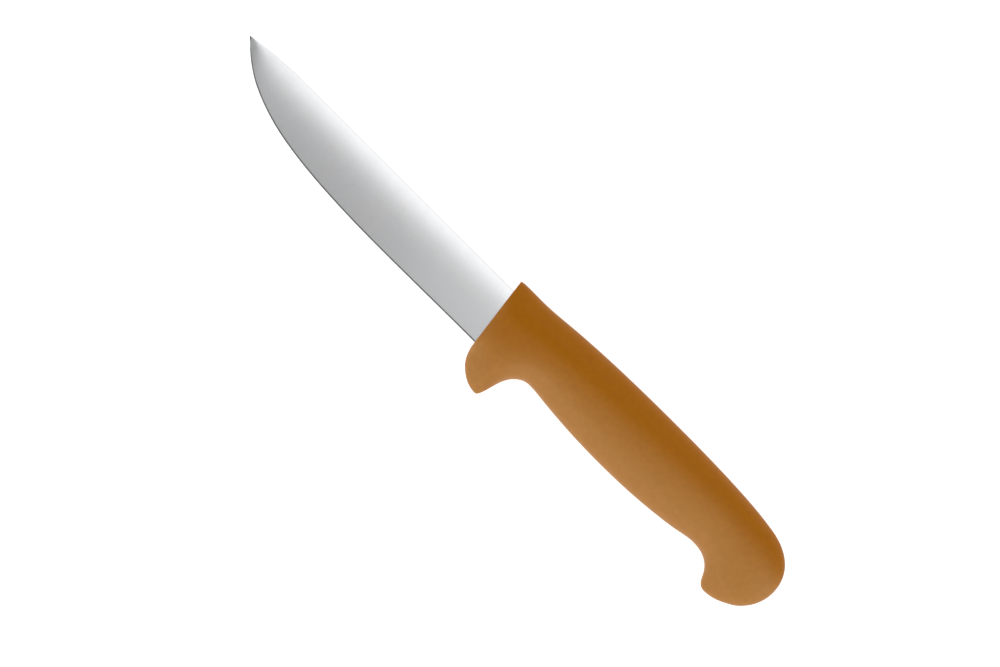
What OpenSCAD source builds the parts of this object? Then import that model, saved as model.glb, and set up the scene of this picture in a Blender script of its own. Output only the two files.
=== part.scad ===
// Boning knife with a moulded handle.
// The knife lies on its side: +X runs from the tip to the butt, +Y from the cutting edge to the spine
// and +Z up through the thickness. The origin is under the middle of the whole knife.
// The working frame of the modules has x = 0 at the front face of the handle, y = 0 on the spine
// and z = 0 in the middle of the blade's thickness. laid_down() moves it to the resting place.

/* [Blade] */
// Length of the blade from the handle to the tip
blade_len = 130.2; // [115:0.1:150]
// Height of the blade where it enters the handle
blade_h = 22.3; // [19:0.1:23]
// Greatest height of the belly of the blade
belly_h = 22.6; // [20:0.1:24]
// Thickness of the blade stock
blade_t = 2; // [1.6:0.1:2.4]
// How far the tip lies below the line of the spine
tip_drop = 2; // [1:0.1:4]
// Height of the flat band along the spine
flat_h = 2; // [1:0.5:6]
// Thickness of the blade where the point begins to thin
nose_t = 1.8; // [1.4:0.1:2]
// Thickness of the blade above the sharpening bevel
edge_t = 0.4; // [0.3:0.05:0.6]
// Height of the sharpening bevel
bevel_h = 0.5; // [0.3:0.1:1]

/* [Tang] */
// Distance of the tang's end from the front face of the handle
tang_len = 105; // [98:1:112]
// Height of the tang behind the blade's shoulders
tang_front_h = 16; // [14:0.5:17]
// Height of the tang from the throat of the handle
tang_mid_h = 12.4; // [10:0.2:13]
// Height of the tang at its end
tang_end_h = 9.5; // [8:0.5:10]
// Diameter of the locking holes through the tang
hole_d = 6; // [4:0.5:7]

/* [Handle] */
// Length of the handle from its front face to the butt
handle_len = 137.4; // [130:0.1:148]
// Height of the handle's front corner above the spine
front_h = 4.3; // [3.5:0.1:5.5]
// Height of the handle's back above the spine at the palm
palm_h = 7.2; // [6.4:0.1:9]
// Depth of the grip below the spine at its belly
grip_d = 21.5; // [20.5:0.1:24]
// Depth of the throat behind the finger guard
throat_d = 19.4; // [18.8:0.1:20.4]
// Depth of the finger guard below the spine
guard_d = 34.9; // [32:0.1:38]
// Depth of the waist ahead of the butt hook
waist_d = 17.7; // [17:0.1:20]
// Depth of the butt hook below the spine
hook_d = 27.2; // [25:0.1:30]
// Thickness of the handle between its two flat sides
grip_t = 19.8; // [18:0.1:22]
// Thickness of the handle at its front face
front_t = 12.6; // [11:0.1:14]

/* [Core] */
// Wall of the outer moulding over the core, along the back and the belly
skin_y = 3.6; // [3:0.1:4]
// Wall of the outer moulding over the core, at the sides
skin_z = 3; // [2.5:0.1:3.5]

/* [Hidden] */

steel = "silver";
core_colour = "dimgray";
ochre = "#a36a22";

// Depth of the front face's lower end and its lean behind the upper corner
face_d = 24.6;
face_x = [-2, 1.8];
// Stations of the handle along x
throat_x = 26;
belly_x = 62;
palm_x = 74;
waist_x = handle_len - 32.4;
hook_root_x = handle_len - 21.4;
back_turn_x = handle_len - 19.4;
hook_x = handle_len - 17.9;
butt_y = -10.7;
// Length over which the spine falls to the tip
nose_len = 25.2;

// A curve is a list of knots [x, y, heading, reach before, reach after]: a cubic Bezier span joins
// each knot to the next, and the reaches are how far its handles stretch along the headings.
edge_knots = [
    [-blade_len, -tip_drop, -45, 0, 5],
    [15 - blade_len, 9.4 - belly_h, -25, 7, 7],
    [35 - blade_len, 3.2 - belly_h, -10, 7, 15],
    [-45, -belly_h, 0, 17, 15],
    [0, -blade_h, 0, 15, 0]
];
spine_knots = [
    [-blade_len, -tip_drop, 9, 0, 8.5],
    [nose_len - blade_len, 0, 0, 8.5, 0]
];
back_knots = [
    [face_x[0], front_h, 15, 0, 2],
    [8, front_h + 0.3, 0, 5, 5],
    [22, front_h + 1.2, 5, 6, 16],
    [palm_x, palm_h, 0, 18, 16],
    [back_turn_x, palm_h - 1.9, -8, 10, 8],
    [handle_len - 7, palm_h - 5.5, -40, 5, 5],
    [handle_len, butt_y, -90, 6, 0]
];
belly_knots = [
    [face_x[1], -face_d, -75, 0, 3],
    [5, 4.2 - guard_d, -45, 2, 4],
    [14, -guard_d, 0, 5, 1],
    [17, 6.5 - guard_d, 75, 4, 3],
    [21, -throat_d - 1.8, 40, 3, 2],
    [throat_x, -throat_d, 0, 2, 3],
    [throat_x + 10, -throat_d - 0.9, -5, 4, 9],
    [belly_x, -grip_d, 0, 10, 12],
    [waist_x - 10, -waist_d - 1.6, 8, 11, 4],
    [waist_x, -waist_d, 0, 3, 3],
    [waist_x + 8, -waist_d - 2.5, -40, 3, 2],
    [hook_root_x, 2.7 - hook_d, -65, 2, 1],
    [hook_x, -hook_d, 0, 2, 4],
    [handle_len - 7.4, 3.4 - hook_d, 30, 4, 4],
    [handle_len, butt_y, 90, 6, 0]
];
// Half thickness of the handle along x, a little over the flat sides in the middle
crown = 0.2;
side_knots = [
    [0, front_t / 2, 55, 0, 4],
    [24, grip_t / 2 + crown, 0, 12, 20],
    [handle_len - 38, grip_t / 2 + crown, 0, 20, 24],
    [handle_len, 0, -90, 8, 0]
];
// Squareness of the cross-section along x, as the exponent of a superellipse: 2 is an ellipse
squareness = [[0, 2.4], [30, 2.2], [90, 2.1], [120, 2]];

// The core's own upper and lower lines and its two ends
core_x = [9, handle_len - 14];
core_back_knots = [
    [core_x[0], front_h - skin_y, 3, 0, 10],
    [palm_x, palm_h - skin_y, 0, 30, 22],
    [core_x[1], palm_h - skin_y - 4, -22, 10, 0]
];
core_belly_knots = [
    [core_x[0], 7 - guard_d, 12, 0, 6],
    [throat_x - 2, skin_y - throat_d, 14, 7, 4],
    [belly_x, skin_y - grip_d, 0, 22, 22],
    [waist_x, skin_y - waist_d, 0, 16, 7],
    [core_x[1], skin_y - waist_d - 1.4, -10, 7, 0]
];

// Steps in each span of the lower lines, and the points round each ring
belly_steps = [4, 5, 5, 4, 4, 3, 7, 8, 3, 4, 3, 2, 5, 7];
throat_step = 22;
ring_points = 40;
core_steps = [8, 6, 6, 5];
core_points = 24;
lookup_steps = 24;
arc_steps = 8;

// Blade stations, grind steps, and the widths of the tip, the edge and the spine's corners
blade_steps = 30;
grind_steps = 5;
tip_h = 0.15;
apex_t = 0.1;
corner = 0.15;
// Near the tip the bevel shrinks with the blade below this height
full_bevel_h = 4;
// The grind bends a little: its slope grows as this power towards the edge
grind_power = 1.5;
// Half thickness along x: full stock from just ahead of the handle, a straight taper to the nose,
// then a round one to the tip
stock_x = -3;
taper_len = 60;
tip_share = 0.35;
nose_half = min(nose_t, blade_t) / 2;

// The blade keeps its full height up to the shoulders, inside the handle
shoulder_x = 7;
shoulder_r = 2;
tang_top = -1.5;
hole_x = 22;
hole_pitch = 33;
hole_count = 3;

// Point of a cubic Bezier curve
function bezier(a, b, c, d, t) =
    let (s = 1 - t)
    s * s * s * a + 3 * s * s * t * b + 3 * s * t * t * c + t * t * t * d;

function heading(k, reach) = [k[0] + reach * cos(k[2]), k[1] + reach * sin(k[2])];

// Points of the span between two knots, without its last point
function span(k0, k1, steps) =
    [for (i = [0 : steps - 1])
        bezier([k0[0], k0[1]], heading(k0, k0[4]), heading(k1, -k1[3]), [k1[0], k1[1]], i / steps)];

// Points of a whole curve, with one number of steps for each span
function curve(knots, steps) =
    [for (i = [0 : len(knots) - 2]) each span(knots[i], knots[i + 1], steps[i]),
        [knots[len(knots) - 1][0], knots[len(knots) - 1][1]]];

// The same with as many steps in every span, to look heights up along x
function line(knots) = curve(knots, [for (k = knots) lookup_steps]);

function arc(cx, cy, r, from, to) =
    [for (i = [0 : arc_steps])
        let (a = from + (to - from) * i / arc_steps)
        [cx + r * cos(a), cy + r * sin(a)]];

edge_line = line(edge_knots);
spine_line = line(spine_knots);
back_line = line(back_knots);
side_line = line(side_knots);
core_back_line = line(core_back_knots);
core_belly_line = curve(core_belly_knots, core_steps);
belly_line = curve(belly_knots, belly_steps);
lowest_y = min([for (p = belly_line) p[1]]);

// Superellipse ring on the chord from b to t, with half thickness h and its sides cut flat at limit
function ring(b, t, h, limit, points) =
    let (mid = (b + t) / 2, arm = (t - b) / 2, power = lookup(mid[0], squareness))
    [for (i = [0 : points - 1])
        let (a = 360 * i / points, u = sign(cos(a)) * pow(abs(cos(a)), 2 / power))
        [mid[0] + u * arm[0], mid[1] + u * arm[1], max(-limit, min(limit, h * sin(a)))]];

// Solid through a list of rings with equal numbers of points, closed by flat ends.
// The last end closes on the point apex where one is given.
module loft(rings, apex = undef) {
    n = len(rings[0]);
    m = len(rings);
    open_end = is_undef(apex);
    points = [for (r = rings) each r, if (!open_end) apex];
    walls = [for (j = [0 : m - 2], i = [0 : n - 1])
        let (a = j * n + i, b = j * n + (i + 1) % n)
        each [[a, b + n, b], [a, a + n, b + n]]];
    start = [[for (i = [0 : n - 1]) i]];
    flat_end = [[for (i = [n - 1 : -1 : 0]) (m - 1) * n + i]];
    point_end = [for (i = [0 : n - 1]) [(m - 1) * n + i, m * n, (m - 1) * n + (i + 1) % n]];
    polyhedron(points, [each start, each walls, each (open_end ? flat_end : point_end)]);
}

function half_stock(x) =
    let (d = x + blade_len, share = tip_share + (1 - tip_share) * sin(90 * min(1, d / taper_len)))
    share * lookup(x, [[taper_len - blade_len, nose_half], [stock_x, blade_t / 2]]);

// Outline of one blade section, from the spine down one side to the edge and up the other side
function blade_ring(x) =
    let (
        top = lookup(x, spine_line),
        low = min(lookup(x, edge_line), top - tip_h),
        height = top - low,
        part = height / blade_h,
        half = half_stock(x),
        bevel = bevel_h * min(1, height / full_bevel_h),
        grind_top = top - flat_h * part,
        grind_low = low + bevel,
        nick = corner * min(1, part * 2),
        side = [
            [top, half - nick],
            [top - nick, half],
            for (i = [0 : grind_steps]) let (t = i / grind_steps)
                [grind_top + (grind_low - grind_top) * t, half - (half - edge_t / 2) * pow(t, grind_power)],
            [low, apex_t / 2]
        ]
    )
    [for (p = side) [x, p[0], p[1]], for (i = [len(side) - 1 : -1 : 0]) [x, side[i][0], -side[i][1]]];

// Ground blade, running on at full height through the handle
module blade_blank() {
    ground = blade_len + stock_x;
    steps = [for (i = [0 : blade_steps]) ground * pow(i / blade_steps, 2) - blade_len];
    loft([for (x = steps) blade_ring(x), blade_ring(0), blade_ring(tang_len + 5)]);
}

function tang_low(x) =
    tang_top - lookup(x, [[shoulder_x, tang_front_h], [throat_x, tang_mid_h], [tang_len, tang_end_h]]);

// Side view of everything that is kept of the blank: the blade and the narrower tang behind it
module blade_side() {
    end_r = tang_end_h / 2;
    polygon([
        [-blade_len - 5, 5],
        [shoulder_x, 5],
        each arc(shoulder_x + shoulder_r, tang_top + shoulder_r, shoulder_r, 180, 270),
        each arc(tang_len - end_r, tang_top - end_r, end_r, 90, -90),
        [throat_x, tang_low(throat_x)],
        each arc(shoulder_x + shoulder_r, tang_low(shoulder_x) - shoulder_r, shoulder_r, 90, 180),
        [shoulder_x, -belly_h - 5],
        [-blade_len - 5, -belly_h - 5]
    ]);
}

// Blade and tang in one piece, with the locking holes
module blade_form() {
    difference() {
        intersection() {
            blade_blank();
            linear_extrude(height = 2 * blade_t, center = true) blade_side();
        }
        for (i = [0 : hole_count - 1]) {
            x = hole_x + i * hole_pitch;
            translate([x, (tang_top + tang_low(x)) / 2, 0])
                cylinder(d = hole_d, h = 2 * blade_t, center = true, $fn = 48);
        }
    }
}

// Inner moulding, inset from the outside of the handle
module core_form() {
    rings = [for (b = core_belly_line)
        ring(b, [b[0], lookup(b[0], core_back_line)],
            lookup(b[0], side_line) - skin_z, grip_t / 2 - skin_z, core_points)];
    loft(rings);
}

// Outside of the handle: chords from the lower line to the back, leaning with the front face
module grip_form() {
    last = len(belly_line) - 1;
    rings = [for (i = [0 : last - 1])
        let (
            b = belly_line[i],
            lean = (face_x[1] - face_x[0]) * max(0, 1 - i / throat_step),
            t = [b[0] - lean, lookup(b[0] - lean, back_line)]
        )
        ring(b, t, lookup((b[0] + t[0]) / 2, side_line), grip_t / 2, ring_points)];
    loft(rings, [handle_len, butt_y, 0]);
}

// From the working frame to the knife lying on its side, with the origin under its middle
module laid_down() {
    translate([(blade_len - handle_len) / 2, -(palm_h + lowest_y) / 2, grip_t / 2]) children();
}

module blade() {
    color(steel) laid_down() blade_form();
}

module handle_core() {
    color(core_colour) laid_down() difference() {
        core_form();
        blade_form();
    }
}

module handle_grip() {
    color(ochre) laid_down() difference() {
        grip_form();
        core_form();
        blade_form();
    }
}

blade();
handle_core();
handle_grip();
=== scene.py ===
import math

import bmesh
import bpy
import numpy as np
from mathutils import Matrix, Vector


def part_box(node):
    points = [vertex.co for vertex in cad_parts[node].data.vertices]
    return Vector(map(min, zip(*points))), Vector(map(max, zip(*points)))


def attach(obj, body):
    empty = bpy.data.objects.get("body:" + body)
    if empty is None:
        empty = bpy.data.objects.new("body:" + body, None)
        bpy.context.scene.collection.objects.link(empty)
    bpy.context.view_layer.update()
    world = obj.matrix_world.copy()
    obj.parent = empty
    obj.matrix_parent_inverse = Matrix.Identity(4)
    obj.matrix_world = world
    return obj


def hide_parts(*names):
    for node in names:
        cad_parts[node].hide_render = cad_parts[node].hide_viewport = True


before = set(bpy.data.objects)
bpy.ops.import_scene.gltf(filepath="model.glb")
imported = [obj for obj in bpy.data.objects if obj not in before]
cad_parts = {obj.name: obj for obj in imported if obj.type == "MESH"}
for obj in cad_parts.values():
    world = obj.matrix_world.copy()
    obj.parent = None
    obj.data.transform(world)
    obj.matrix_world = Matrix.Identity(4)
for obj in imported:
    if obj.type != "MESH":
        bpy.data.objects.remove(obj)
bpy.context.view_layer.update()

MM = 0.001

# ---------------------------------------------------------------------------
# Where the knife is. The shapes below are worked out in millimetres in a working frame with x = 0 at
# the handle's front face, y = 0 on the spine and z = 0 in the middle of the blade's thickness.
# ---------------------------------------------------------------------------
HANDLE_LEN = 137.4
BLADE_LOW, BLADE_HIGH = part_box("blade")
GRIP_LOW, GRIP_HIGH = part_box("handle_grip")
ORIGIN = Vector((
    GRIP_HIGH[0] - HANDLE_LEN * MM,
    BLADE_HIGH[1],
    (BLADE_LOW[2] + BLADE_HIGH[2]) / 2,
))

BLADE_LEN = (ORIGIN.x - BLADE_LOW[0]) / MM
BLADE_T = (BLADE_HIGH[2] - BLADE_LOW[2]) / MM
GRIP_T = (GRIP_HIGH[2] - GRIP_LOW[2]) / MM
PALM_H = (GRIP_HIGH[1] - BLADE_HIGH[1]) / MM

BLADE_H = 22.3
BELLY_H = 22.6
TIP_DROP = 2.0
FLAT_H = 0.8
NOSE_T = 1.8
EDGE_T = 0.4
BEVEL_H = 0.5
STOCK_X = -3.0
TAPER_LEN = 60.0
TIP_SHARE = 0.35
TIP_H = 0.15
CORNER = 0.15
APEX_T = 0.1
# Near the tip the bevel shrinks with the blade below this height.
FULL_BEVEL_H = 4
# The grind bends a little: its slope grows as this power towards the edge.
GRIND_POWER = 1.5
FRONT_H = 4.3
GRIP_D = 21.5
THROAT_D = 19.4
GUARD_D = 34.9
WAIST_D = 17.7
HOOK_D = 27.2
FRONT_T = 12.6
SKIN_Y = 3.6
SKIN_Z = 3.0
FACE_D = 24.6
FACE_X = (-2.0, 1.8)
BUTT_Y = -10.7

# Stations of the handle along x
THROAT_X = 26
BELLY_X = 62
PALM_X = 74
WAIST_X = HANDLE_LEN - 32.4
HOOK_ROOT_X = HANDLE_LEN - 21.4
BACK_TURN_X = HANDLE_LEN - 19.4
HOOK_X = HANDLE_LEN - 17.9

# A curve is a list of knots (x, y, heading, reach before, reach after): a cubic Bezier span joins
# each knot to the next, and the reaches are how far its handles stretch along the headings.

EDGE_KNOTS = [
    (-BLADE_LEN, -TIP_DROP, -45, 0, 5),
    (15 - BLADE_LEN, 9.4 - BELLY_H, -25, 7, 7),
    (35 - BLADE_LEN, 3.2 - BELLY_H, -10, 7, 15),
    (-45, -BELLY_H, 0, 17, 15),
    (0, -BLADE_H, 0, 15, 0),
]
SPINE_KNOTS = [
    (-BLADE_LEN, -TIP_DROP, 9, 0, 8.5),
    (25.2 - BLADE_LEN, 0, 0, 8.5, 0),
]
BACK_KNOTS = [
    (FACE_X[0], FRONT_H, 15, 0, 2),
    (8, FRONT_H + 0.3, 0, 5, 5),
    (22, FRONT_H + 1.2, 5, 6, 16),
    (PALM_X, PALM_H, 0, 18, 16),
    (BACK_TURN_X, PALM_H - 1.9, -8, 10, 4.5),
    (HANDLE_LEN - 7.4, PALM_H - 5.2, -30, 4.5, 5),
    (HANDLE_LEN, BUTT_Y, -90, 6, 0),
]
BELLY_KNOTS = [
    (FACE_X[1], -FACE_D, -75, 0, 3),
    (5, 4.2 - GUARD_D, -45, 2, 3),
    (14, -GUARD_D, 0, 4, 1.3),
    (17, 6.5 - GUARD_D, 75, 4, 3),
    (21, -THROAT_D - 1.8, 40, 3, 2),
    (THROAT_X, -THROAT_D, 0, 2, 3),
    (THROAT_X + 10, -THROAT_D - 0.9, -5, 4, 9),
    (BELLY_X, -GRIP_D, 0, 10, 12),
    (WAIST_X - 10, -WAIST_D - 1.6, 8, 11, 4),
    (WAIST_X, -WAIST_D, 0, 3, 3),
    (WAIST_X + 8, -WAIST_D - 2.5, -40, 3, 2),
    (HOOK_ROOT_X, 2.7 - HOOK_D, -65, 2, 1),
    (HOOK_X, -HOOK_D, 0, 2, 4),
    (HANDLE_LEN - 7.4, 3.4 - HOOK_D, 30, 4, 4),
    (HANDLE_LEN, BUTT_Y, 90, 6, 0),
]
# Half thickness of the handle along x, a little over the flat sides in the middle
CROWN = 0.2
SIDE_KNOTS = [
    (0, FRONT_T / 2, 55, 0, 4),
    (24, GRIP_T / 2 + CROWN, 0, 12, 20),
    (HANDLE_LEN - 38, GRIP_T / 2 + CROWN, 0, 20, 24),
    (HANDLE_LEN, 0, -90, 8, 0),
]
# Squareness of the cross-section along x, as the exponent of a superellipse: 2 is an ellipse
SQUARENESS = [(0, 2.4), (30, 2.2), (90, 2.1), (120, 2.0)]
CORE_X = (9, HANDLE_LEN - 14)
CORE_BACK_KNOTS = [
    (CORE_X[0], FRONT_H - SKIN_Y, 3, 0, 10),
    (PALM_X, PALM_H - SKIN_Y, 0, 30, 22),
    (CORE_X[1], PALM_H - SKIN_Y - 4, -22, 10, 0),
]
CORE_BELLY_KNOTS = [
    (CORE_X[0], 7 - GUARD_D, 12, 0, 6),
    (THROAT_X - 2, SKIN_Y - THROAT_D, 14, 7, 4),
    (BELLY_X, SKIN_Y - GRIP_D, 0, 22, 22),
    (WAIST_X, SKIN_Y - WAIST_D, 0, 16, 7),
    (CORE_X[1], SKIN_Y - WAIST_D - 1.4, -10, 7, 0),
]


# ---------------------------------------------------------------------------
# Curves and sections
# ---------------------------------------------------------------------------
def span(k0, k1, steps):
    """Points of the cubic Bezier span between two knots, without its last point."""
    a, d = np.array(k0[:2], float), np.array(k1[:2], float)
    r0, r1 = math.radians(k0[2]), math.radians(k1[2])
    b = a + k0[4] * np.array((math.cos(r0), math.sin(r0)))
    c = d - k1[3] * np.array((math.cos(r1), math.sin(r1)))
    t = (np.arange(steps) / steps)[:, None]
    s = 1 - t
    return s**3 * a + 3 * s * s * t * b + 3 * s * t * t * c + t**3 * d


def curve(knots, steps):
    if isinstance(steps, int):
        steps = [steps] * (len(knots) - 1)
    spans = [span(knots[i], knots[i + 1], steps[i]) for i in range(len(knots) - 1)]
    return np.vstack(spans + [np.array([knots[-1][:2]], float)])


def height_at(line, x):
    return float(np.interp(x, line[:, 0], line[:, 1]))


EDGE = curve(EDGE_KNOTS, 200)
SPINE = curve(SPINE_KNOTS, 200)
BACK = curve(BACK_KNOTS, 200)
SIDE = curve(SIDE_KNOTS, 200)


def chord_ring(b, t, half, count, limit):
    """Superellipse ring on the chord from b to t, with its sides cut flat at limit."""
    b, t = np.array(b, float), np.array(t, float)
    mid, arm = (b + t) / 2, (t - b) / 2
    power = float(np.interp(mid[0], *zip(*SQUARENESS)))
    ring = []
    for i in range(count):
        a = 2 * math.pi * i / count
        c, s = math.cos(a), math.sin(a)
        u = math.copysign(abs(c) ** (2 / power), c) if abs(c) > 1e-9 else 0.0
        z = max(-limit, min(limit, half * s))
        ring.append((mid[0] + u * arm[0], mid[1] + u * arm[1], z))
    return ring


def half_stock(x):
    """Half the blade's thickness at x, before it is ground."""
    near_tip = min(1, (x + BLADE_LEN) / TAPER_LEN)
    share = TIP_SHARE + (1 - TIP_SHARE) * math.sin(math.radians(90 * near_tip))
    return share * float(np.interp(x, (TAPER_LEN - BLADE_LEN, STOCK_X), (NOSE_T / 2, BLADE_T / 2)))


def blade_ring(x, flat_steps=4, grind_steps=22):
    """One blade section, down one side from the spine to the edge and up the other."""
    top = height_at(SPINE, x)
    low = min(height_at(EDGE, x), top - TIP_H)
    tall = top - low
    part = tall / BLADE_H
    half = half_stock(x)
    bevel = BEVEL_H * min(1, tall / FULL_BEVEL_H)
    grind_top, grind_low = top - FLAT_H * part, low + bevel
    nick = CORNER * min(1, part * 2)
    side = []
    for i in range(4):
        a = math.radians(30 * i)
        side.append((top - nick * (1 - math.cos(a)), half - nick * (1 - math.sin(a))))
    for i in range(1, flat_steps):
        side.append((top - nick + (grind_top - top + nick) * i / flat_steps, half))
    for i in range(grind_steps + 1):
        t = i / grind_steps
        side.append((grind_top + (grind_low - grind_top) * t,
                     half - (half - EDGE_T / 2) * t**GRIND_POWER))
    side.append((low, APEX_T / 2))
    return [(x, y, z) for y, z in side] + [(x, y, -z) for y, z in reversed(side)]


# ---------------------------------------------------------------------------
# Meshes
# ---------------------------------------------------------------------------
def to_row(p):
    return ORIGIN + Vector(p) * MM


def new_object(name, verts, faces):
    mesh = bpy.data.meshes.new(name)
    mesh.from_pydata([to_row(v) for v in verts], [], faces)
    bm = bmesh.new()
    bm.from_mesh(mesh)
    bmesh.ops.recalc_face_normals(bm, faces=bm.faces)
    bm.to_mesh(mesh)
    bm.free()
    obj = bpy.data.objects.new(name, mesh)
    bpy.context.scene.collection.objects.link(obj)
    return obj


def loft(name, rings, apex=None):
    """Closed skin over a list of rings; the last end closes on apex where one is given."""
    n, m = len(rings[0]), len(rings)
    verts = [p for ring in rings for p in ring]
    faces = []
    for j in range(m - 1):
        for i in range(n):
            a, b = j * n + i, j * n + (i + 1) % n
            faces.append((a, b, b + n, a + n))
    faces.append(tuple(range(n - 1, -1, -1)))
    if apex is None:
        faces.append(tuple((m - 1) * n + i for i in range(n)))
    else:
        verts.append(apex)
        faces += [((m - 1) * n + i, (m - 1) * n + (i + 1) % n, m * n) for i in range(n)]
    return new_object(name, verts, faces)


def prism(name, outline, z0, z1):
    n = len(outline)
    verts = [(x, y, z0) for x, y in outline] + [(x, y, z1) for x, y in outline]
    faces = [tuple(range(n - 1, -1, -1)), tuple(range(n, 2 * n))]
    faces += [(i, (i + 1) % n, (i + 1) % n + n, i + n) for i in range(n)]
    return new_object(name, verts, faces)


def carve(obj, tool, operation="DIFFERENCE", keep=False):
    """obj changed by a boolean with tool, which is then removed."""
    mod = obj.modifiers.new("cut", "BOOLEAN")
    mod.operation = operation
    mod.solver = "EXACT"
    mod.object = tool
    graph = bpy.context.evaluated_depsgraph_get()
    mesh = bpy.data.meshes.new_from_object(obj.evaluated_get(graph))
    obj.modifiers.clear()
    old, obj.data = obj.data, mesh
    mesh.name = obj.name
    bpy.data.meshes.remove(old)
    if not keep:
        bpy.data.objects.remove(tool)


def shade(obj, angle):
    mesh = obj.data
    mesh.polygons.foreach_set("use_smooth", [True] * len(mesh.polygons))
    mesh.set_sharp_from_angle(angle=math.radians(angle))
    mesh.update()


def arc(cx, cy, r, start, end, steps=12):
    angles = [math.radians(start + (end - start) * i / steps) for i in range(steps + 1)]
    return [(cx + r * math.cos(a), cy + r * math.sin(a)) for a in angles]


# ---------------------------------------------------------------------------
# The blade, with its tang and locking holes
# ---------------------------------------------------------------------------
TANG_LEN = 105.0
TANG_TOP = -1.5
SHOULDER_X, SHOULDER_R = 7.0, 2.0
TANG_H = [(SHOULDER_X, 16.0), (THROAT_X, 12.4), (TANG_LEN, 9.5)]
HOLES = [22, 55, 88]
HOLE_R = 3.0


def tang_low(x):
    return TANG_TOP - float(np.interp(x, *zip(*TANG_H)))


def blade_side():
    end_r = TANG_H[-1][1] / 2
    s, r = SHOULDER_X, SHOULDER_R
    return ([(-BLADE_LEN - 5, 5), (s, 5)]
            + arc(s + r, TANG_TOP + r, r, 180, 270)
            + arc(TANG_LEN - end_r, TANG_TOP - end_r, end_r, 90, -90)
            + [(THROAT_X, tang_low(THROAT_X))]
            + arc(s + r, tang_low(s) - r, r, 90, 180)
            + [(s, -BELLY_H - 5), (-BLADE_LEN - 5, -BELLY_H - 5)])


def make_blade():
    # The stations crowd towards the tip, where the outline turns fastest.
    steps, crowding = 150, 1.6
    xs = [(BLADE_LEN + STOCK_X) * (i / steps) ** crowding - BLADE_LEN for i in range(steps + 1)]
    obj = loft("blade_ground", [blade_ring(x) for x in xs + [0, TANG_LEN + 5]])
    carve(obj, prism("keep", blade_side(), -BLADE_T, BLADE_T), "INTERSECT")
    for x in HOLES:
        y = (TANG_TOP + tang_low(x)) / 2
        carve(obj, prism("hole", arc(x, y, HOLE_R, 0, 352.5, 47), -BLADE_T, BLADE_T))
    shade(obj, 9)
    return obj


# ---------------------------------------------------------------------------
# The outer moulding of the handle
# ---------------------------------------------------------------------------
BELLY_STEPS = [12, 18, 16, 14, 14, 10, 24, 26, 12, 14, 10, 8, 20, 24]
THROAT_STEP = sum(BELLY_STEPS[:5])
CHORD_POINTS = 49
RIM_ROUND = 0.3
CORE_STEPS = [8, 6, 6, 5]
CORE_POINTS = 24
LOOKUP_STEPS = 24


def grip_chords():
    """Points across the handle's side outline, chord by chord from the front face to the butt."""
    belly = curve(BELLY_KNOTS, BELLY_STEPS)
    belly[:, 1] = np.maximum(belly[:, 1], (GRIP_LOW[1] - ORIGIN.y) / MM)
    share = (1 - np.cos(np.linspace(0, math.pi, CHORD_POINTS)))[:, None] / 2
    chords = []
    for i, b in enumerate(belly[:-1]):
        lean = (FACE_X[1] - FACE_X[0]) * max(0, 1 - i / THROAT_STEP)
        t = np.array((b[0] - lean, height_at(BACK, b[0] - lean)))
        chords.append(b + share * (t - b))
    return np.array(chords)


def dome(chords):
    """A smooth swelling over the outline, 1 along its crown and 0 at its rim.

    It is the shape of a soap film blown up over the outline (Poisson's equation), worked out with
    linear triangles between the chords' points and solved chord by chord.
    """
    rows, cols = chords.shape[:2]
    stiff = np.zeros((rows, 3, cols, cols))
    load = np.zeros((rows, cols))
    for i in range(rows - 1):
        for j in range(cols - 1):
            quad = ((i, j), (i + 1, j), (i + 1, j + 1), (i, j + 1))
            for tri in ((quad[0], quad[1], quad[2]), (quad[0], quad[2], quad[3])):
                p = np.array([chords[v] for v in tri])
                across = np.array([p[2] - p[1], p[0] - p[2], p[1] - p[0]])
                area = abs(across[0][0] * across[1][1] - across[0][1] * across[1][0]) / 2
                share = across @ across.T / (4 * area + 1e-12)
                for m, (r, c) in enumerate(tri):
                    load[r, c] += area / 3
                    for n, (r2, c2) in enumerate(tri):
                        stiff[r, r2 - r + 1, c, c2] += share[m, n]
    inner = slice(1, cols - 1)
    film = np.zeros((rows, cols))
    gain, carry = [], []
    for i in range(rows):
        here, right = stiff[i, 1, inner, inner].copy(), load[i, inner].copy()
        if i:
            before = stiff[i, 0, inner, inner]
            here -= before @ gain[-1]
            right -= before @ carry[-1]
        gain.append(np.linalg.solve(here, stiff[i, 2, inner, inner]))
        carry.append(np.linalg.solve(here, right))
    film[-1, inner] = carry[-1]
    for i in range(rows - 2, -1, -1):
        film[i, inner] = carry[i] - gain[i] @ film[i + 1, inner]
    return film / film.max(axis=1, keepdims=True)


def grip_rings():
    """Closed rings over the chords, up one side of the handle and back down the other."""
    chords = grip_chords()
    crown_share = GRIP_T / (GRIP_T + 2 * CROWN)
    rings = []
    for line, film in zip(chords, dome(chords)):
        x = line[:, 0].mean()
        power = float(np.interp(x, *zip(*SQUARENESS)))
        half = height_at(SIDE, x) * crown_share
        z = half * (1 - (1 - np.clip(film, 0, 1)) ** (power / 2)) ** (1 / power)
        up = [(*p, h) for p, h in zip(line, z)]
        down = [(*p, -h) for p, h in zip(line[-2:0:-1], z[-2:0:-1])]
        rings.append(up + down)
    return rings


def round_front_rim(obj):
    """A small radius round the front face."""
    bm = bmesh.new()
    bm.from_mesh(obj.data)
    face = max(bm.faces, key=lambda f: len(f.verts))
    bmesh.ops.bevel(bm, geom=list(face.edges), offset=RIM_ROUND * MM, segments=3, profile=0.5,
                    affect="EDGES", clamp_overlap=True)
    bm.to_mesh(obj.data)
    bm.free()


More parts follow.
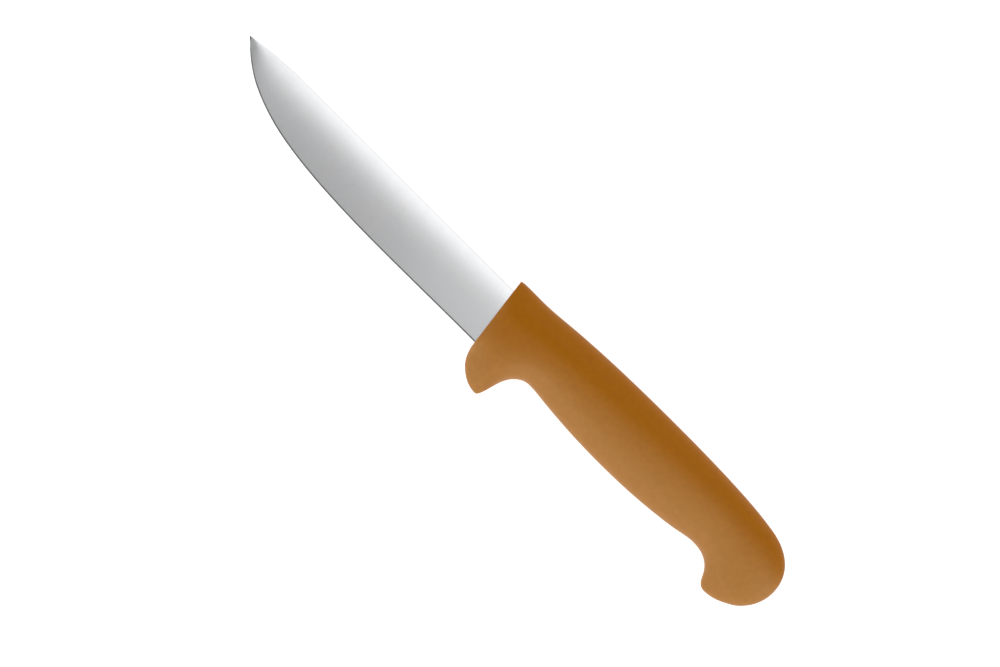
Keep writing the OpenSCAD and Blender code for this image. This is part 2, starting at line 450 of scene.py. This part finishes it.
def core_outside():
    """The core's outside, in the same steps as the CAD core that fills it."""
    belly = curve(CORE_BELLY_KNOTS, CORE_STEPS)
    back, side = curve(CORE_BACK_KNOTS, LOOKUP_STEPS), curve(SIDE_KNOTS, LOOKUP_STEPS)
    rings = []
    for b in belly:
        half = height_at(side, b[0]) - SKIN_Z
        top = (b[0], height_at(back, b[0]))
        rings.append(chord_ring(b, top, half, CORE_POINTS, GRIP_T / 2 - SKIN_Z))
    return loft("core_outside", rings)


def make_grip(blade):
    obj = loft("grip_moulding", grip_rings(), (HANDLE_LEN, BUTT_Y, 0))
    round_front_rim(obj)
    carve(obj, core_outside())
    carve(obj, blade, keep=True)
    shade(obj, 40)
    return obj


# ---------------------------------------------------------------------------
# Materials
# ---------------------------------------------------------------------------
class Nodes:
    """A small helper for building a material's nodes."""

    def __init__(self, name):
        self.mat = bpy.data.materials.new(name)
        self.mat.use_nodes = True
        self.tree = self.mat.node_tree
        self.shader = self.tree.nodes["Principled BSDF"]

    def add(self, kind, **values):
        node = self.tree.nodes.new(kind)
        for key, value in values.items():
            setattr(node, key, value)
        return node

    def link(self, a, b):
        self.tree.links.new(a, b)

    def scaled(self, scale):
        coords = self.add("ShaderNodeTexCoord")
        mapping = self.add("ShaderNodeMapping")
        mapping.inputs["Scale"].default_value = scale
        self.link(coords.outputs["Object"], mapping.inputs["Vector"])
        return mapping.outputs["Vector"]

    def noise(self, scale, detail=3.0, rough=0.5, stretch=(1, 1, 1)):
        node = self.add("ShaderNodeTexNoise")
        node.inputs["Scale"].default_value = scale
        node.inputs["Detail"].default_value = detail
        node.inputs["Roughness"].default_value = rough
        self.link(self.scaled(stretch), node.inputs["Vector"])
        return node.outputs["Fac"]

    def spread(self, value, low, high):
        """The middle of a noise's range, 0.3 to 0.7, spread over low to high."""
        node = self.add("ShaderNodeMapRange")
        node.inputs["From Min"].default_value = 0.3
        node.inputs["From Max"].default_value = 0.7
        node.inputs["To Min"].default_value = low
        node.inputs["To Max"].default_value = high
        self.link(value, node.inputs["Value"])
        return node.outputs["Result"]

    def mix(self, value, one, two):
        node = self.add("ShaderNodeMix", data_type="RGBA")
        self.link(value, node.inputs["Factor"])
        node.inputs["A"].default_value = (*one, 1)
        node.inputs["B"].default_value = (*two, 1)
        return node.outputs["Result"]

    def bump(self, value, distance, strength):
        node = self.add("ShaderNodeBump")
        node.inputs["Strength"].default_value = strength
        node.inputs["Distance"].default_value = distance
        self.link(value, node.inputs["Height"])
        return node.outputs["Normal"]


# The deep ochre of the plastic, and the paler ochre that carries a painted sheen on the belly side
# and the butt end.
OCHRE_BACK = (0.37, 0.12, 0.0)
OCHRE_BELLY_SHEEN = (0.45, 0.20, 0.05)
# The painted sheen's blend goes by how far a point faces the back, less this much for each metre
# towards the butt.
SHEEN_TO_BUTT = 3.0
BACK_END, BELLY_END = 0.2, -0.5
SEAM_LINE = (("From Min", 0.00005), ("From Max", 0.00018), ("To Min", 0.72), ("To Max", 1.0))


def grip_plastic():
    """Ochre plastic, deep along the back, with a painted sheen that makes it paler on the belly side
    and towards the butt.
    """
    n = Nodes("grip_plastic")
    coords = n.add("ShaderNodeTexCoord")
    facing, place = n.add("ShaderNodeSeparateXYZ"), n.add("ShaderNodeSeparateXYZ")
    n.link(coords.outputs["Normal"], facing.inputs["Vector"])
    n.link(coords.outputs["Object"], place.inputs["Vector"])
    lean = n.add("ShaderNodeMath", operation="MULTIPLY_ADD")
    lean.inputs[1].default_value = -SHEEN_TO_BUTT
    n.link(place.outputs["X"], lean.inputs[0])
    n.link(facing.outputs["Y"], lean.inputs[2])
    # Painted sheen: the colour turns to the paler ochre where the surface faces the belly side and
    # towards the butt, standing in for light falling from those sides.
    painted_sheen = n.add("ShaderNodeMapRange", interpolation_type="SMOOTHSTEP")
    painted_sheen.inputs["From Min"].default_value = BACK_END
    painted_sheen.inputs["From Max"].default_value = BELLY_END
    n.link(lean.outputs["Value"], painted_sheen.inputs["Value"])
    tone = n.mix(painted_sheen.outputs["Result"], OCHRE_BACK, OCHRE_BELLY_SHEEN)
    # A fine mottle, and the faint line where the two halves of the mould met.
    seam = n.add("ShaderNodeMath", operation="SUBTRACT")
    seam.inputs[1].default_value = ORIGIN.z
    n.link(place.outputs["Z"], seam.inputs[0])
    off_seam = n.add("ShaderNodeMath", operation="ABSOLUTE")
    n.link(seam.outputs["Value"], off_seam.inputs[0])
    line = n.add("ShaderNodeMapRange", interpolation_type="SMOOTHSTEP")
    for name, value in SEAM_LINE:
        line.inputs[name].default_value = value
    n.link(off_seam.outputs["Value"], line.inputs["Value"])
    shade_of = n.add("ShaderNodeMath", operation="MULTIPLY")
    n.link(n.spread(n.noise(500, 4, 0.6), 0.95, 1.05), shade_of.inputs[0])
    n.link(line.outputs["Result"], shade_of.inputs[1])
    mottle = n.add("ShaderNodeVectorMath", operation="SCALE")
    n.link(tone, mottle.inputs[0])
    n.link(shade_of.outputs["Value"], mottle.inputs["Scale"])
    n.link(mottle.outputs["Vector"], n.shader.inputs["Base Color"])
    n.link(n.spread(n.noise(900, 3), 0.35, 0.41), n.shader.inputs["Roughness"])
    n.shader.inputs["Specular IOR Level"].default_value = 0.1
    grain = n.bump(n.noise(2600, 2), 0.00003, 0.5)
    n.link(grain, n.shader.inputs["Normal"])
    return n.mat


def core_plastic():
    n = Nodes("core_plastic")
    tone = n.mix(n.spread(n.noise(200, 4), 0, 1), (0.045, 0.045, 0.05), (0.06, 0.06, 0.065))
    n.link(tone, n.shader.inputs["Base Color"])
    n.link(n.spread(n.noise(700, 3), 0.5, 0.65), n.shader.inputs["Roughness"])
    n.link(n.bump(n.noise(1500, 2), 0.00005, 0.4), n.shader.inputs["Normal"])
    return n.mat


def blade_steel():
    """Steel with fine grinding marks that run across the blade."""
    n = Nodes("blade_steel")
    n.shader.inputs["Metallic"].default_value = 1.0
    marks = n.noise(900, 4, 0.6, stretch=(6, 0.25, 1))
    cloud = n.noise(45, 3)
    tone = n.mix(n.spread(cloud, 0, 1), (0.665, 0.675, 0.68), (0.69, 0.69, 0.70))
    n.link(tone, n.shader.inputs["Base Color"])
    n.link(n.spread(marks, 0.12, 0.16), n.shader.inputs["Roughness"])
    n.link(n.bump(marks, 0.000004, 0.5), n.shader.inputs["Normal"])
    return n.mat


def floor_paint():
    n = Nodes("floor_paint")
    n.link(n.mix(n.spread(n.noise(3, 2), 0, 1), (0.75, 0.75, 0.75), (0.76, 0.76, 0.76)),
           n.shader.inputs["Base Color"])
    n.shader.inputs["Roughness"].default_value = 0.9
    n.shader.inputs["Specular IOR Level"].default_value = 0.1
    n.shader.inputs["Emission Color"].default_value = (1, 1, 1, 1)
    n.shader.inputs["Emission Strength"].default_value = 0.7
    return n.mat


def paint(obj, material):
    obj.data.materials.clear()
    obj.data.materials.append(material)


# ---------------------------------------------------------------------------
# Stage, light and camera
# ---------------------------------------------------------------------------
# The sky's grey by height, and how far it is pushed up on the side of the spine
SKY = [(0.48, 0.75), (0.73, 0.15)]
SPINE_SIDE_END, SPINE_SIDE_PUSH = 0.5, 0.35


def make_floor():
    size = 6.0
    mesh = bpy.data.meshes.new("floor")
    corners = [(-size, -size, 0), (size, -size, 0), (size, size, 0), (-size, size, 0)]
    mesh.from_pydata(corners, [], [(0, 1, 2, 3)])
    obj = bpy.data.objects.new("floor", mesh)
    bpy.context.scene.collection.objects.link(obj)
    paint(obj, floor_paint())
    obj.visible_glossy = False


def panel(name, place, aim, width, height, radiance):
    """Soft rectangular light at place, facing aim, with the same brightness all over."""
    light = bpy.data.lights.new(name, "AREA")
    light.shape = "RECTANGLE"
    light.size, light.size_y = width, height
    light.energy = radiance * width * height * 4
    obj = bpy.data.objects.new(name, light)
    turn = (Vector(aim) - Vector(place)).to_track_quat("-Z", "Y").to_matrix().to_4x4()
    obj.matrix_world = Matrix.Translation(place) @ turn
    bpy.context.scene.collection.objects.link(obj)


def set_stops(ramp, stops):
    """The stops of a colour ramp, as (position, colour)."""
    while len(ramp.elements) < len(stops):
        ramp.elements.new(0.5)
    for element, (position, colour) in zip(ramp.elements, stops):
        element.position = position
        element.color = (*colour, 1)


def make_sky():
    """White studio walls all round, under a dark ceiling that starts higher on the +Y side."""
    world = bpy.data.worlds.new("studio")
    world.use_nodes = True
    tree = world.node_tree
    coords = tree.nodes.new("ShaderNodeTexCoord")
    height = tree.nodes.new("ShaderNodeSeparateXYZ")
    spine_side = tree.nodes.new("ShaderNodeMapRange")
    spine_side.inputs["From Max"].default_value = SPINE_SIDE_END
    spine_side.inputs["To Max"].default_value = -SPINE_SIDE_PUSH
    lowered = tree.nodes.new("ShaderNodeMath")
    walls = tree.nodes.new("ShaderNodeValToRGB")
    walls.color_ramp.interpolation = "EASE"
    set_stops(walls.color_ramp, [(z, (grey, grey, grey)) for z, grey in SKY])
    tree.links.new(coords.outputs["Generated"], height.inputs["Vector"])
    tree.links.new(height.outputs["Y"], spine_side.inputs["Value"])
    tree.links.new(height.outputs["Z"], lowered.inputs[0])
    tree.links.new(spine_side.outputs["Result"], lowered.inputs[1])
    tree.links.new(lowered.outputs["Value"], walls.inputs["Fac"])
    tree.links.new(walls.outputs["Color"], tree.nodes["Background"].inputs["Color"])
    bpy.context.scene.world = world


def make_lights():
    # Cards over the blade, bright towards the spine and dimmer towards the edge. They lie side by
    # side, because cards that overlap in one plane hide one another in reflections.
    overhead = 1.1
    for name, x, width, y0, y1, radiance in (
            ("card_bright", -0.10, 0.42, -0.040, 0.248, 1.07),
            ("card_fade", -0.185, 0.25, -0.090, -0.040, 0.30),
            ("card_dim", -0.275, 0.43, -0.250, -0.090, 0.31),
            ("card_tip", -0.615, 0.25, -0.350, 0.050, 0.50),
            ("card_heel", 0.05, 0.22, -0.250, -0.040, 0.50)):
        y = (y0 + y1) / 2
        panel(name, (x, y, overhead), (x, y, 0), width, y1 - y0, radiance)
    # Soft boxes round the knife.
    for name, place, width, height, radiance in (
            ("belly_low", (0, -1.4, 0.38), 2.0, 0.5, 0.4),
            ("belly_high", (0, -1.15, 0.9), 1.6, 0.4, 1.9),
            ("spine_high", (0, 1.15, 0.9), 1.6, 0.4, 0.7),
            ("tip_side", (-1.3, 0, 0.9), 0.9, 0.9, 0.75),
            ("butt_side", (1.3, 0, 0.9), 0.9, 0.9, 1.4)):
        panel(name, place, (0, 0, 0), width, height, radiance)


def make_camera():
    """Straight above the knife, turned so that the knife runs down to the right."""
    width = 0.350
    centre = ORIGIN + Vector((5.6, -13.9, 0)) * MM
    data = bpy.data.cameras.new("camera")
    data.lens, data.sensor_width = 150, 36
    distance = width * data.lens / data.sensor_width
    data.clip_start, data.clip_end = 0.05, 20
    obj = bpy.data.objects.new("camera", data)
    obj.location = centre + Vector((0, 0, distance))
    obj.rotation_euler = (0, 0, math.radians(45))
    bpy.context.scene.collection.objects.link(obj)
    bpy.context.scene.camera = obj


def make_knife():
    blade = make_blade()
    grip = make_grip(blade)
    paint(blade, blade_steel())
    paint(grip, grip_plastic())
    paint(bpy.data.objects["handle_core"], core_plastic())
    for obj, node, slot in ((blade, "blade", "blade_steel"), (grip, "handle_grip", "grip_plastic")):
        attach(obj, "root")
        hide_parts(node)


make_camera()
make_floor()
make_sky()
make_lights()
make_knife()
bpy.context.scene.view_settings.view_transform = "Standard"
bpy.context.view_layer.update()
